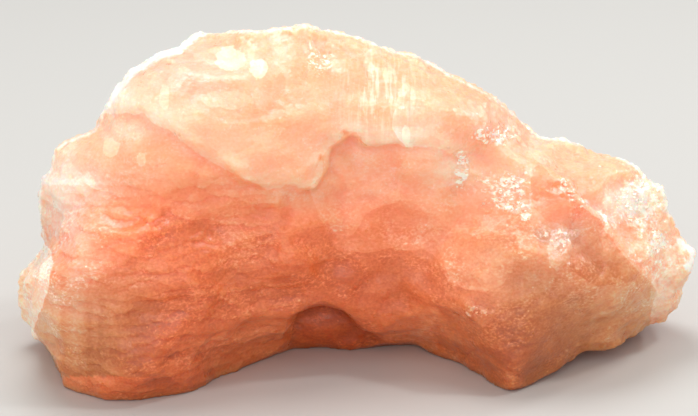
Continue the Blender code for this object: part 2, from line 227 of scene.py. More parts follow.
# Layers that break off along an edge on the front, and the hollow under the arch: the edge's line,
# the points that close it round one side, the side that the change in paleness starts on (1 inside,
# -1 outside), the change, and how far from the edge it fades out. Some changes are painted light
# and shade, as said at each
plateEdges = {
    # the cap: a paler layer, and painted light on its face that turns up to the light
    "cap": {
        "line": [
            (-46.0, 50.6), (-44.4, 50.7), (-37.5, 50.6), (-36.0, 48.9), (-33.0, 47.7),
            (-29.5, 44.6), (-25.9, 42.2), (-18.7, 38.6), (-15.9, 37.2), (-13.7, 37.5),
            (-12.5, 38.2), (-10.2, 37.6), (-8.3, 37.5), (-7.1, 38.6), (-5.9, 40.5), (-5.9, 42.8),
            (-4.7, 44.8), (-3.3, 45.6), (-1.9, 47.4), (0.0, 47.5), (0.9, 45.9), (2.3, 44.8),
            (4.9, 45.0), (7.3, 45.4), (8.7, 44.7), (10.6, 44.9), (14.5, 44.5), (20.0, 42.0),
        ],
        "closing": [(30.0, 39.0), (34.0, 75.0), (-60.0, 75.0), (-60.0, 49.0)],
        "side": 1, "change": 0.08, "fades over": 60.0,
    },
    # painted light: the plate beyond the crest is paler, as lit from above and shining through
    "crest": {
        "line": [
            (30.9, 43.7), (35.1, 39.2), (36.3, 38.5), (40.1, 34.3), (41.9, 32.7), (43.5, 31.8),
            (44.2, 29.8), (45.8, 28.0), (47.3, 25.9), (48.8, 24.1), (50.6, 22.4), (52.4, 20.6),
            (53.4, 19.0), (52.7, 17.0), (52.4, 14.6),
        ],
        "closing": [(50.0, 0.0), (5.0, 0.0), (5.0, 30.0), (22.0, 46.0)],
        "side": -1, "change": 0.12, "fades over": 18.0,
    },
    # the flake: a paler tab, partly a painted glow of light through its thin stone
    "flake": {
        "line": [
            (-58.0, 28.3), (-55.4, 27.7), (-54.0, 26.0), (-53.8, 23.5), (-54.6, 19.9),
            (-55.8, 16.3), (-57.3, 12.2),
        ],
        "closing": [(-52.0, 4.0), (-30.0, 4.0), (-30.0, 38.0), (-60.0, 38.0)],
        "side": -1, "change": 0.22, "fades over": 9.0,
    },
    "valley": {
        "line": [
            (-8.2, 37.3), (-7.6, 35.3), (-6.7, 32.7), (-5.5, 31.1), (-3.9, 29.6), (-2.0, 28.8),
            (-0.7, 28.9), (0.4, 30.7), (1.4, 32.3), (2.8, 33.4), (5.1, 34.4), (7.5, 34.8),
        ],
        "closing": [(9.0, 44.0), (-5.0, 46.0)],
        "side": 1, "change": 0.08, "fades over": 5.0,
    },
    "saddle": {
        "line": [
            (-1.2, 25.4), (-0.4, 26.3), (1.8, 25.9), (3.9, 26.1), (5.3, 26.6), (6.6, 27.0),
            (8.3, 26.4), (12.1, 26.6), (13.5, 25.7), (14.6, 24.7), (15.4, 23.4), (16.0, 21.8),
            (16.5, 20.4), (18.1, 20.1), (22.0, 19.0),
        ],
        "closing": [(26.0, 19.0), (26.0, 42.0), (-6.0, 42.0), (-4.0, 27.0)],
        "side": 1, "change": 0.1, "fades over": 6.0,
    },
    "crescent": {
        "line": [(7.5, 54.5), (7.3, 53.1), (6.2, 48.5), (7.5, 46.2), (8.9, 44.7)],
        "closing": [(20.0, 44.0), (20.0, 56.0)],
        "side": 1, "change": 0.12, "fades over": 1.5,
    },
    "salmon": {
        "line": [
            (31.3, 41.0), (31.0, 38.6), (31.4, 34.0), (33.9, 31.8), (38.5, 30.0), (41.6, 30.6),
            (44.0, 31.6),
        ],
        "closing": [(44.0, 45.0)],
        "side": -1, "change": 0.08, "fades over": 5.0,
    },
    # painted shade: the brown face turns down, away from the light, and is darker
    "brown": {
        "line": [
            (52.0, 17.0), (49.2, 21.1), (42.8, 19.9), (38.0, 23.0), (37.4, 27.5), (40.0, 29.6),
            (44.0, 31.6),
        ],
        "closing": [(54.0, 30.0)],
        "side": 1, "change": -0.1, "fades over": 12.0,
    },
    "small crescent": {
        "line": [(35.6, 30.0), (34.4, 28.6), (34.0, 26.4), (34.3, 24.2), (35.6, 22.6)],
        "closing": [(38.5, 23.5), (38.0, 29.5)],
        "side": 1, "change": 0.12, "fades over": 1.2,
    },
    "low patch": {
        "line": [
            (14.0, 27.5), (15.6, 24.6), (16.7, 21.2), (19.6, 19.6), (23.0, 19.2), (26.0, 20.2),
            (28.0, 23.0),
        ],
        "closing": [(28.0, 30.0), (18.0, 31.0)],
        "side": 1, "change": 0.07, "fades over": 8.0,
    },
    "tip": {
        "line": [
            (54.3, 29.0), (54.9, 26.0), (55.3, 23.8), (53.6, 20.6), (55.0, 19.2), (57.2, 18.8),
        ],
        "closing": [(62.0, 19.0), (62.0, 30.0)],
        "side": 1, "change": 0.08, "fades over": 6.0,
    },
    "tan patch": {
        "line": [(41.5, 7.0), (41.7, 16.5), (44.0, 20.0)],
        "closing": [(60.0, 20.0), (60.0, 0.0)],
        "side": 1, "change": 0.06, "fades over": 10.0,
    },
    # painted shade: the hollow under the arch is darker, where shade falls
    "hollow": {
        "line": [
            (-12.4, -9.0), (-12.2, 8.5), (-11.2, 12.8), (-10.3, 15.4), (-8.0, 16.4),
            (-6.5, 17.6), (-5.0, 17.2), (-2.0, 15.6), (-0.3, 13.7), (2.0, 12.2), (5.0, 10.4),
            (9.5, 8.9), (11.0, -9.0),
        ],
        "closing": [],
        "side": 1, "change": -0.13, "fades over": 30.0,
    },
}
# Frosted, crumbling rims, which carry painted rim light too: the line, how far in the white crust
# and the rim light reach, and how white they are
rims = {
    "left": {
        "line": [
            (-60.0, 21.7), (-57.0, 25.4), (-55.2, 28.2), (-56.1, 31.2), (-56.2, 36.2),
            (-55.6, 39.2), (-54.0, 40.7), (-53.5, 44.2), (-51.2, 45.6), (-46.3, 47.6),
            (-45.2, 50.0),
        ],
        "reach": 0.6, "white": 0.5,
    },
    "upper left": {
        "line": [
            (-45.2, 51.5), (-43.0, 54.4), (-39.8, 58.4), (-35.1, 61.3), (-31.6, 62.3),
            (-28.2, 65.0),
        ],
        "reach": 1.5, "white": 1.0,
    },
    "top": {
        "line": [
            (-28.2, 65.0), (-15.6, 65.4), (-9.5, 66.4), (0.7, 64.1), (6.0, 61.9), (11.2, 60.7),
            (16.3, 57.7),
        ],
        "reach": 0.7, "white": 0.5,
    },
    "slope": {
        "line": [(16.3, 57.7), (24.8, 53.3), (32.6, 46.6)],
        "reach": 0.7, "white": 0.4,
    },
    "right end": {
        "line": [
            (32.6, 46.6), (37.4, 46.0), (43.5, 44.5), (48.0, 42.5), (52.0, 39.6), (54.6, 37.0),
            (55.6, 32.7),
        ],
        "reach": 0.9, "white": 0.6,
    },
    "right tip": {
        "line": [(57.5, 28.0), (59.9, 26.2), (59.2, 23.2)],
        "reach": 0.9, "white": 0.8,
    },
    "low right": {
        "line": [(59.2, 23.2), (56.7, 16.0), (52.0, 11.0), (44.0, 8.2)],
        "reach": 0.5, "white": 0.2,
    },
}
# Patches that the light glints off: the middle and reach of each
wetPlaces = {
    "shoulder": ((27.0, 36.7), (4.4, 3.8)),
    "below the shoulder": ((29.8, 33.2), (1.6, 2.2)),
    "left of the shoulder": ((18.6, 41.0), (1.8, 3.8)),
    "over the shoulder": ((24.5, 46.8), (4.0, 1.8)),
    "crest": ((36.8, 38.0), (1.1, 1.5)),
    "middle crest": ((38.3, 36.3), (1.0, 1.4)),
    "low crest": ((39.8, 34.6), (1.1, 1.4)),
    "crescent": ((36.7, 28.6), (1.5, 2.2)),
    "by the crescent": ((33.2, 29.1), (1.4, 1.0)),
    "low": ((21.5, 15.5), (2.4, 1.4)),
    "right end": ((50.3, 35.2), (4.6, 4.2)),
    "right tip": ((53.6, 28.0), (1.8, 2.4)),
    "top": ((-6.5, 60.0), (2.4, 2.4)),
}
# Places that are rounded more than the solid is
roundedPlaces = {
    "right foot": ((28.0, 13.0), (9.0, 9.0)),
    "beside the hollow": ((16.0, 12.0), (7.0, 5.0)),
}


# The calcite mass: the solid's surface at a finer scale, with its fine relief. A pair of numbers is
# a span, along which a share climbs from 0 to 1
massSizes = {
    "voxel": 0.45,
    "triangles": 190000,
    "smoothing": 0.5,
    "smoothing passes": 2,
    "rounding passes": 150,
    "rounding starts above": (1.0, 5.0),
    "crest's rounding": 0.8,
    "crest's rounding reach": 3.0,
    "crest's low end": (35.0, 31.0),
    "rounding faces the front": (-0.1, 0.2),
    "crumbly rim": 2.5,
    "left lobe across": (-6.0, -18.0),
    "left lobe up": (46.0, 33.0),
    "low front": (36.0, 28.0),
    "right end across": (40.0, 50.0),
    "right end up": (8.0, 16.0),
    "plate stretch": (0.8, 0.8, 1.0),
    "plate riser": 0.12,
    "flake stretch": (0.7, 0.7, 1.1),
    "flake riser": 0.25,
    "scale stretch": (0.22, 0.22, 0.58),
    "scale warp": 1.1,
    "grain detail": 3.0,
    "clear of the floor": (0.2, 1.5),
    "relief": {  # the inputs of the relief's tree
        "plate height": 0.35,
        "plate size": 17.0,
        "plate steps": 3.6,
        "flake height": 0.26,
        "flake size": 6.5,
        "flake steps": 3.4,
        "scale height": 0.3,
        "grain height": 0.07,
        "grain size": 1.1,
        "crumb height": 1.1,
        "crumb size": 1.7,
    },
}


def copyCadNode(name):
    bm = bmesh.new()
    bm.from_mesh(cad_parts[name].data)
    bmesh.ops.remove_doubles(bm, verts=bm.verts, dist=1e-6)
    mesh = bpy.data.meshes.new(name + "_mass")
    bm.to_mesh(mesh)
    bm.free()
    piece = bpy.data.objects.new(mesh.name, mesh)
    scene.collection.objects.link(piece)
    return piece


def voxelSkin(piece, voxel):
    remesh = piece.modifiers.new("voxelSkin", "REMESH")
    remesh.mode = "VOXEL"
    remesh.voxel_size = voxel * mm
    keepResult(piece)
    smooth = piece.modifiers.new("smooth", "SMOOTH")
    smooth.factor = massSizes["smoothing"]
    smooth.iterations = massSizes["smoothing passes"]
    keepResult(piece)


def averaged(piece, values, passes):
    # each point's value becomes the mean of its own and its neighbours', again and again
    edges = np.empty(len(piece.data.edges) * 2, np.int64)
    piece.data.edges.foreach_get("vertices", edges)
    first, second = edges.reshape(-1, 2).T
    count = np.bincount(edges, minlength=len(values)) + 1.0
    for _ in range(passes):
        total = values + np.bincount(first, values[second], len(values))
        total += np.bincount(second, values[first], len(values))
        values = total / count
    return values


def roundPlaces(piece):
    points = getPoints(piece)
    seen = seenFromFront(points)
    passes = massSizes["rounding passes"]
    rounded = np.stack([averaged(piece, values, passes) for values in points.T], axis=1)
    share = widestShare(seen, roundedPlaces)
    share *= softStep(*massSizes["rounding starts above"], points[:, 2])
    fromCrest = lineDistance(seen, plateEdges["crest"]["line"])
    crest = np.exp(-(fromCrest / massSizes["crest's rounding reach"]) ** 2)
    crest *= softStep(*massSizes["crest's low end"], seen[:, 1])
    share = np.maximum(share, massSizes["crest's rounding"] * crest)
    towards = getNormals(piece) @ viewTowards
    share *= softStep(*massSizes["rounding faces the front"], towards)
    setPoints(piece, points + (rounded - points) * share[:, None])


def markRelief(piece):
    # how strong each kind of relief is at each point
    seen = seenFromFront(getPoints(piece))
    across, up = seen.T
    cap = softStep(-1.0, 1.0, edgeDepth(seen, "cap"))
    left = softStep(*massSizes["left lobe across"], across) * (1.0 - cap)
    left *= softStep(*massSizes["left lobe up"], up)
    rightEnd = softStep(*massSizes["right end across"], across)
    rightEnd *= softStep(*massSizes["right end up"], up)
    low = softStep(*massSizes["low front"], up)
    fromRims = [lineDistance(seen, rim["line"]) for rim in rims.values()]
    rim = np.max(np.exp(-(np.array(fromRims) / massSizes["crumbly rim"]) ** 2), axis=0)
    wet = widestShare(seen, wetPlaces)
    addAttribute(piece, "plated", 0.8 - 0.45 * cap - 0.3 * left)
    addAttribute(piece, "flaked", 0.6 - 0.2 * left + 0.5 * rightEnd)
    addAttribute(piece, "scaled", np.clip(left + 0.3 * low, 0.0, 1.0))
    addAttribute(piece, "crumbly", np.clip(rim + 0.25 * rightEnd + 0.35 * wet, 0.0, 1.0))


def terraceLevel(tree, place, stretch, size, steps):
    # a smooth field whose whole numbers are the lines along which the layers break off
    field = addNode(tree, "ShaderNodeTexNoise", None, {
        "Vector": vectorMath(tree, "MULTIPLY", place, stretch),
        "Scale": 1.0 / size,
        "Detail": 1.5,
        "Distortion": 0.5,
    })
    return field * steps


def terrace(level, riser):
    # climbs slowly to 1 and drops back over the riser's share of each step
    part = level.math("FRACT", level)
    return part.math("MINIMUM", part * (1.0 / (1.0 - riser)), (1.0 - part) * (1.0 / riser))


def scaleCells(tree, place):
    # overlapping scales, wider than they are tall: how far up its scale a place is, and the
    # scale's own tone
    stretched = vectorMath(tree, "MULTIPLY", place, massSizes["scale stretch"])
    warp = addNode(tree, "ShaderNodeTexNoise", None,
                   {"Vector": stretched, "Scale": 1.1, "Detail": 3.0})
    warped = scaled(tree, warp.out("Color"), massSizes["scale warp"])
    moved = vectorMath(tree, "ADD", stretched, warped)
    cells = addNode(tree, "ShaderNodeTexVoronoi", {"feature": "F1"},
                    {"Vector": moved, "Scale": 1.0})
    local = vectorMath(tree, "SUBTRACT", moved, cells.out("Position"))
    return separated(tree, local).out("Z"), separated(tree, cells.out("Color"))


def reliefTree():
    tree = bpy.data.node_groups.new("calciteRelief", "GeometryNodeTree")
    tree.interface.new_socket("Geometry", in_out="INPUT", socket_type="NodeSocketGeometry")
    for name, value in massSizes["relief"].items():
        socket = tree.interface.new_socket(name, in_out="INPUT", socket_type="NodeSocketFloat")
        socket.default_value = value
    tree.interface.new_socket("Geometry", in_out="OUTPUT", socket_type="NodeSocketGeometry")
    given = addNode(tree, "NodeGroupInput")
    place = scaled(tree, addNode(tree, "GeometryNodeInputPosition"), 1.0 / mm)

    def share(name):
        named = addNode(tree, "GeometryNodeInputNamedAttribute", {"data_type": "FLOAT"},
                        {"Name": name})
        return named.out("Attribute")

    def rough(name):
        # noise about 0, as high as the named height
        size, height = given.out(name + " size"), given.out(name + " height")
        noise = addNode(tree, "ShaderNodeTexNoise", None, {
            "Vector": place, "Scale": 1.0 / size, "Detail": massSizes["grain detail"]})
        return (noise - 0.5) * 2.0 * height

    plates = terraceLevel(tree, place, massSizes["plate stretch"],
                          given.out("plate size"), given.out("plate steps"))
    flakes = terraceLevel(tree, place, massSizes["flake stretch"],
                          given.out("flake size"), given.out("flake steps"))
    height = terrace(plates, massSizes["plate riser"])
    height = height * given.out("plate height") * share("plated")
    flakeHeight = terrace(flakes, massSizes["flake riser"])
    height += flakeHeight * given.out("flake height") * share("flaked")
    upwards, _ = scaleCells(tree, place)
    height += upwards * given.out("scale height") * share("scaled") * -1.0
    height += rough("grain")
    height += rough("crumb") * share("crumbly")

    low, high = massSizes["clear of the floor"]
    clear = addNode(tree, "ShaderNodeMapRange", None, {
        "Value": separated(tree, place).out("Z"), "From Min": low, "From Max": high})
    push = scaled(tree, addNode(tree, "GeometryNodeInputNormal"), height * clear * mm)
    made = addNode(tree, "GeometryNodeSetPosition", None, {"Geometry": given, "Offset": push})
    for name, value in (("plates", plates), ("flakes", flakes)):
        settings = {"data_type": "FLOAT", "domain": "POINT"}
        made = addNode(tree, "GeometryNodeStoreNamedAttribute", settings,
                       {"Geometry": made, "Name": name, "Value": value})
    addNode(tree, "NodeGroupOutput", None, {"Geometry": made})
    return tree


def makeMass():
    piece = copyCadNode("calcite")
    voxelSkin(piece, massSizes["voxel"])
    roundPlaces(piece)
    markRelief(piece)
    relief = piece.modifiers.new("relief", "NODES")
    relief.node_group = reliefTree()
    setInputs(relief, massSizes["relief"])
    keepResult(piece)
    piece.data.calc_loop_triangles()
    thin = piece.modifiers.new("thin", "DECIMATE")
    thin.ratio = min(1.0, massSizes["triangles"] / len(piece.data.loop_triangles))
    keepResult(piece)
    piece.data.shade_smooth()
    return piece


# Tints: the stone pales upwards from the notch, and sooner towards both ends: painted light and
# shade, paler at the top where the light falls and shines through, darker low down. Heights and
# places are as seen from the front, in millimetres. A place has its middle, its reach and its
# change, and a share climbs from 0 to 1 along its span
tintSizes = {
    "heights": [6.0, 14.0, 17.6, 20.2, 24.3, 28.2, 34.4, 38.0, 44.2, 48.6, 54.0, 58.4, 62.8],
    "paleness": [0.29, 0.34, 0.35, 0.37, 0.42, 0.48, 0.57, 0.64, 0.67, 0.68, 0.69, 0.70, 0.72],
    "across": [-60.0, -54.0, -45.0, -28.0, -16.0, -4.0, 8.0, 17.0, 26.0, 43.0, 60.0],
    "lift": [26.0, 22.0, 12.0, 3.0, 1.0, 0.0, 2.0, 6.0, 10.0, 11.0, 13.0],
    # painted glow where the stone is thin, as if light shone through it
    "glow through thin parts": 0.08,
    "thin within": 5.0,
    # painted light along the cap's edge: it fills the shade under the edge and lights the edge
    # above
    "under the cap": 0.045,
    "cap's edge": 0.05,
    "cap's edge reach": 2.5,
    "rosy lift": 0.05,
    "deepest": 60.0,
    "thickness passes": 6,
    "striated": ((4.5, 55.0), (7.0, 6.5)),
    "slant": (0.6, 0.9),
    "spans": {
        "facing the front": (-0.3, 0.3),
        "cap's change": (25.0, 8.0),
        "cap's edge": (22.0, 10.0),
        "crest's change": (28.0, 33.0),
        "inside the crest": (1.5, -1.0),
        "on the flake": (-0.5, 0.5),
        "on the cap": (-0.5, 0.5),
        "off the crest": (0.5, 3.0),
        "frost's end": (-0.3, 0.0),
        "dull left": (-30.0, -46.0),
        "dull left foot": (32.0, 10.0),
        "dull crest": (8.0, 34.0),
        "dull low crest": (37.0, 28.0),
        "stippled": (38.0, 27.0),
        "grainy right": (16.0, 22.0),
        "grainy above": (2.0, 4.0),
    },
}
tintPlaces = {
    "low band": ((-52.0, 11.0), (0.8, 9.0), -0.09),
    "pale band": ((-49.8, 12.0), (0.8, 8.0), 0.04),
    "second band": ((-47.3, 12.0), (0.7, 9.0), -0.09),
    "third band": ((-45.4, 12.0), (0.6, 7.0), -0.07),
    "left foot": ((-47.0, 12.0), (8.0, 11.0), 0.09),
    "left foot inside": ((-23.5, 6.5), (6.0, 4.0), 0.1),
    "left lobe": ((-36.0, 30.0), (11.0, 6.0), -0.17),
    "right of the left lobe": ((-18.0, 32.5), (9.0, 5.0), -0.07),
    "upper left lobe": ((-43.0, 38.0), (8.0, 3.5), 0.07),
    "left edge": ((-54.0, 20.0), (4.0, 9.0), -0.01),
    "below the cap": ((-40.5, 47.5), (5.5, 2.3), 0.14),
    # painted shade under the cap's edge
    "under the cap's edge": ((-26.0, 40.0), (6.0, 2.5), -0.05),
    "below the cap's foot": ((-12.0, 35.2), (5.0, 2.2), 0.12),
    "cap's tip": ((-42.0, 53.5), (3.5, 2.5), 0.12),
    "cap's foot": ((-8.0, 39.5), (4.0, 3.0), -0.03),
    "notch": ((1.0, 43.0), (3.0, 3.0), 0.06),
    # painted light that lifts the shade beside the hollow
    "right of the hollow": ((15.5, 13.0), (8.0, 4.5), 0.11),
    "upper shoulder": ((17.0, 43.0), (5.0, 4.0), 0.09),
    "right front": ((25.0, 29.5), (8.0, 4.5), -0.13),
    "cap's top": ((-8.0, 58.0), (9.0, 5.0), -0.05),
    "cap's middle": ((-15.3, 50.0), (4.0, 2.5), -0.08),
    "cap's left": ((-31.6, 55.9), (4.0, 3.0), -0.05),
    "cap's left edge": ((-34.0, 50.5), (4.0, 2.5), 0.08),
    "cap's right edge": ((4.0, 47.2), (5.0, 2.4), 0.09),
    "right of the crescent": ((12.0, 49.5), (4.5, 4.0), 0.08),
    "slope": ((25.0, 49.5), (5.0, 3.0), 0.06),
    "left of the crest": ((35.5, 36.5), (4.0, 4.0), -0.14),
    # painted shade on the brown face that turns down
    "brown face": ((42.0, 25.0), (5.0, 4.0), -0.04),
    "right of the crest": ((42.0, 39.0), (3.0, 3.0), -0.06),
    "plate's shade": ((44.8, 36.0), (2.4, 2.0), 0.06),
    "top of the crest": ((35.5, 43.3), (4.0, 2.5), -0.07),
    "by the crescent": ((35.2, 26.0), (1.1, 2.6), 0.05),
    "left ridge": ((-36.0, 31.0), (5.5, 3.0), -0.07),
    # painted light that lifts the shade in the hollow behind the crest
    "behind the crest": ((50.5, 26.0), (4.0, 4.0), 0.07),
    "middle": ((1.0, 26.5), (5.0, 5.0), -0.04),
    "below the middle": ((-2.0, 21.5), (5.0, 3.0), -0.05),
    # these two are painted light that lifts the shade under the overhang on both sides of the
    # hollow
    "left of the hollow": ((-15.5, 10.5), (5.5, 4.5), 0.13),
    "hollow's right": ((9.0, 11.5), (5.0, 3.5), 0.08),
    "plate low": ((54.0, 17.5), (4.0, 5.0), 0.11),
    # pale crumbs with painted glints on them, in the next two places
    "glints on the white crumbs": ((50.6, 35.5), (4.0, 3.6), 0.2),
    "glints low on the white crumbs": ((53.6, 28.0), (1.6, 2.2), 0.08),
    "right end low": ((46.0, 12.0), (9.0, 8.0), 0.1),
    "right tip": ((56.0, 22.0), (6.0, 12.0), 0.06),
    "right foot": ((28.0, 10.5), (7.0, 6.0), -0.12),
    "left foot's front": ((-39.0, 8.0), (6.0, 5.0), -0.04),
    "left foot's rim": ((-54.5, 13.0), (3.5, 6.0), 0.06),
    "beside the flake": ((-52.5, 23.0), (2.0, 3.5), -0.05),
    "crest's low face": ((36.2, 36.2), (3.0, 3.0), -0.05),
    "crest's outer face": ((47.2, 29.0), (3.0, 3.0), -0.05),
    # painted light on the left side, which turns away from the lights
    "left side": ((-52.5, 35.5), (6.0, 9.0), 0.18),
    "valley": ((4.0, 33.5), (7.0, 6.0), -0.09),
    "saddle": ((15.0, 20.5), (4.5, 3.0), -0.08),
    "hollow's top": ((-6.0, 13.5), (5.0, 3.5), 0.08),
    "shoulder": ((22.0, 39.0), (9.0, 6.0), 0.06),
    "facet patch": ((20.0, 23.0), (3.8, 3.0), 0.05),
    "speck": ((-2.0, 47.5), (0.4, 0.4), -0.35),
    "second speck": ((-6.2, 42.9), (0.4, 0.4), -0.3),
}
# Where the stone has a rosy cast: the middle, the reach and the share
rosyPlaces = {
    "crest's face": ((38.0, 29.0), (8.0, 9.0), 0.9),
    "left side": ((-50.0, 30.0), (8.0, 14.0), 0.6),
    "cap's upper left": ((-30.0, 58.0), (9.0, 5.0), 0.7),
    "slope": ((25.0, 50.0), (8.0, 5.0), 0.4),
    "valley": ((3.0, 36.0), (14.0, 7.0), 0.3),
}
# Milky spots: the middle, the reach and the share
milkPlaces = {
    "left": ((-22.2, 60.5), (3.1, 2.3), 1.0),
    "right": ((-17.2, 58.4), (1.6, 2.0), 0.9),
    "spot": ((-43.5, 44.6), (1.5, 2.2), 0.5),
    "small spot": ((-38.1, 42.6), (0.9, 1.3), 0.45),
    "low spot": ((-47.9, 38.0), (1.9, 1.9), 0.4),
    "upper left": ((-34.0, 54.0), (0.9, 2.6), 0.4),
    "cap": ((-23.5, 53.2), (4.6, 1.9), 0.3),
    "right cap": ((9.0, 55.5), (0.8, 0.9), 0.45),
    "crescent": ((8.9, 46.6), (0.7, 1.8), 0.8),
}


def stoneThickness(piece):
    # how far the stone goes on straight in from each point, averaged over its neighbours
    points, normals = getPoints(piece) * mm, getNormals(piece)
    bm = bmesh.new()
    bm.from_mesh(piece.data)
    tree = BVHTree.FromBMesh(bm)
    bm.free()
    reach = tintSizes["deepest"]
    depth = np.full(len(points), reach)
    starts = points - normals * 0.2 * mm  # just under the surface
    for index, (point, inwards) in enumerate(zip(starts, -normals)):
        distance = tree.ray_cast(Vector(point), Vector(inwards), reach * mm)[3]
        if distance is not None:
            depth[index] = distance / mm
    return averaged(piece, depth, tintSizes["thickness passes"])


def addTints(piece):
    points = getPoints(piece)
    seen = seenFromFront(points)
    across, up = seen.T

    def span(name, values):
        return softStep(*tintSizes["spans"][name], values)

    towards = getNormals(piece) @ viewTowards
    facing = span("facing the front", towards)
    depths = {name: edgeDepth(seen, name) * edge["side"]
              for name, edge in plateEdges.items()}
    # each edge's change in paleness, partly painted light and shade at the cap, crest, flake, brown
    # face and hollow
    for name, edge in plateEdges.items():
        change = edge["change"] * np.exp(-abs(depths[name]) / edge["fades over"]) * facing
        if name == "cap":
            change *= span("cap's change", across)
        if name == "crest":
            change *= span("crest's change", across)
        addAttribute(piece, name + "Depth", depths[name])
        addAttribute(piece, name + "Change", change)

    # how pale the stone is; its rise upwards is painted light and shade
    lift = np.interp(across, tintSizes["across"], tintSizes["lift"])
    pale = np.interp(up + lift, tintSizes["heights"], tintSizes["paleness"])
    for middle, reach, change in tintPlaces.values():
        pale += change * spotShare(seen, middle, reach) * facing
    # a painted glow where the stone is thin, as if light shone through it
    thin = np.exp(-stoneThickness(piece) / tintSizes["thin within"])
    thin *= span("off the crest", lineDistance(seen, plateEdges["crest"]["line"]))
    pale += tintSizes["glow through thin parts"] * thin
    # painted light along the cap's edge: it fills the shade in the groove under the edge and lights
    # the edge above
    capEdgeLight = np.exp(-(depths["cap"] / tintSizes["cap's edge reach"]) ** 2)
    capEdgeLight *= span("cap's edge", across) * facing
    pale += np.where(depths["cap"] < 0.0, tintSizes["under the cap"],
                     tintSizes["cap's edge"]) * capEdgeLight
    rosy = sum(share * spotShare(seen, middle, reach)
               for middle, reach, share in rosyPlaces.values()) * facing
    pale += tintSizes["rosy lift"] * rosy
    addAttribute(piece, "paleness", pale)
    addAttribute(piece, "rosy", rosy)

    # the white crust and its painted rim light narrow on the faces that are seen at a slant, and
    # stop just round the outline
    steepest, straight = tintSizes["slant"]
    slant = np.clip(towards, steepest, straight) / straight
    frost = [rim["white"] * np.exp(-(lineDistance(seen, rim["line"]) / (rim["reach"] * slant)) ** 2)
             for rim in rims.values()]
    addAttribute(piece, "frost", np.max(frost, axis=0) * span("frost's end", towards))

    # the left foot and the low part of the crest are duller
    offFlake = 1.0 - span("on the flake", depths["flake"])
    dull = span("dull left", across) * span("dull left foot", up) * offFlake
    dullCrest = span("dull crest", across) * span("dull low crest", up)
    dull = np.maximum(dull, dullCrest * span("inside the crest", depths["crest"]))
    addAttribute(piece, "dull", dull * facing)

    spots = np.array([spotShare(seen, *spot) for *spot, share in milkPlaces.values()])
    shares = np.array([share for *spot, share in milkPlaces.values()])
    addAttribute(piece, "milk", spots.max(axis=0))
    addAttribute(piece, "milkShare", shares[spots.argmax(axis=0)] * facing)
    offCap = 1.0 - 0.7 * span("on the cap", depths["cap"])
    addAttribute(piece, "stippled", (0.25 + 0.75 * span("stippled", up)) * offCap)
    addAttribute(piece, "striated", spotShare(seen, *tintSizes["striated"]) * facing)
    wet = widestShare(seen, wetPlaces)
    addAttribute(piece, "wet", wet)
    grainy = span("grainy right", across) * (0.8 * wet ** 2 + 0.1 * thin)
    grainy = np.clip(grainy, 0.0, 1.0) * span("grainy above", points[:, 2])
    addAttribute(piece, "grainy", grainy)


# The stone's finish. Sizes are in millimetres, tones are changes in paleness, and of a pair of
# tones the second is what the stippled places add to the first
calciteStops = [
    (0.0, (134, 42, 10)),
    (0.2, (184, 77, 26)),
    (0.35, (215, 102, 46)),
    (0.5, (239, 131, 78)),
    (0.6, (249, 150, 101)),
    (0.7, (252, 170, 127)),
    (0.8, (253, 194, 158)),
    (0.9, (253, 219, 191)),
    (1.0, (254, 242, 226)),
]
stoneLooks = {
    "colours": {
        "dull": (223, 255, 255),
        "rosy": (255, 238, 255),
        "milk": (255, 242, 206),
        # colour of the white crust and its painted rim light
        "frost": (255, 250, 240),
    },
    "sizes": {
        "ragged edge": 2.2,
        "patch": 4.5,
        "mottle": 3.6,
        "cluster": 6.0,
        "fine grain": 0.42,
        "coarse grain": 1.0,
        "speck": 0.6,
        "dot spacing": 2.0,
        "streak": 0.7,
        # the sizes of the painted glints and highlights that follow
        "wandering line": 1.6,
        "crumb": 0.9,
        "dash": 0.6,
        "facet": 0.8,
    },
    "tones": {
        "broken": (0.35, 0.45),  # how strongly plates and flakes show
        "plate": 0.05,
        "flake": 0.04,
        # the thin painted highlight on the plates' and flakes' edges
        "edge highlight": 0.015,
        "scale": 0.05,
        "patch": (0.015, 0.025),
        "mottle": (0.02, 0.02),
        "fine grain": (0.1, 0.17),
        # painted glints in the grain's clusters
        "grain glints": 0.5,
        "coarse grain": (0.03, 0.05),  # the clusters add the second
        # the wet patches' specks and the dots are painted glints
        "speck": (0.05, 0.2),  # the wet patches add the second
        "dot": 0.2,
        "milk": (0.05, 0.1),  # its curds add the second
        "cream": 0.025,
        "streak": 0.14,
        # crumb and dash are the tones of painted glints and painted highlight dashes
        "crumb": 0.2,
        "dash": 0.1,
    },
    "milky share": 0.4,
    "frost share": 0.85,
    "roughness": 0.4,
    "roughness range": 0.2,
    "gloss smooths by": 0.26,
    "coat": (0.05, 0.5),  # dry, and what the gloss adds
    "coat roughness": 0.15,
    "glow radius": (1.0, 0.45, 0.25),
    "glow depth": 0.01,
    "ior": 1.6,
    "facet turn": (0.1, 0.4),  # dry, and what the gloss adds
    "bump": 0.55,
    "bump depth": 0.0003,
}


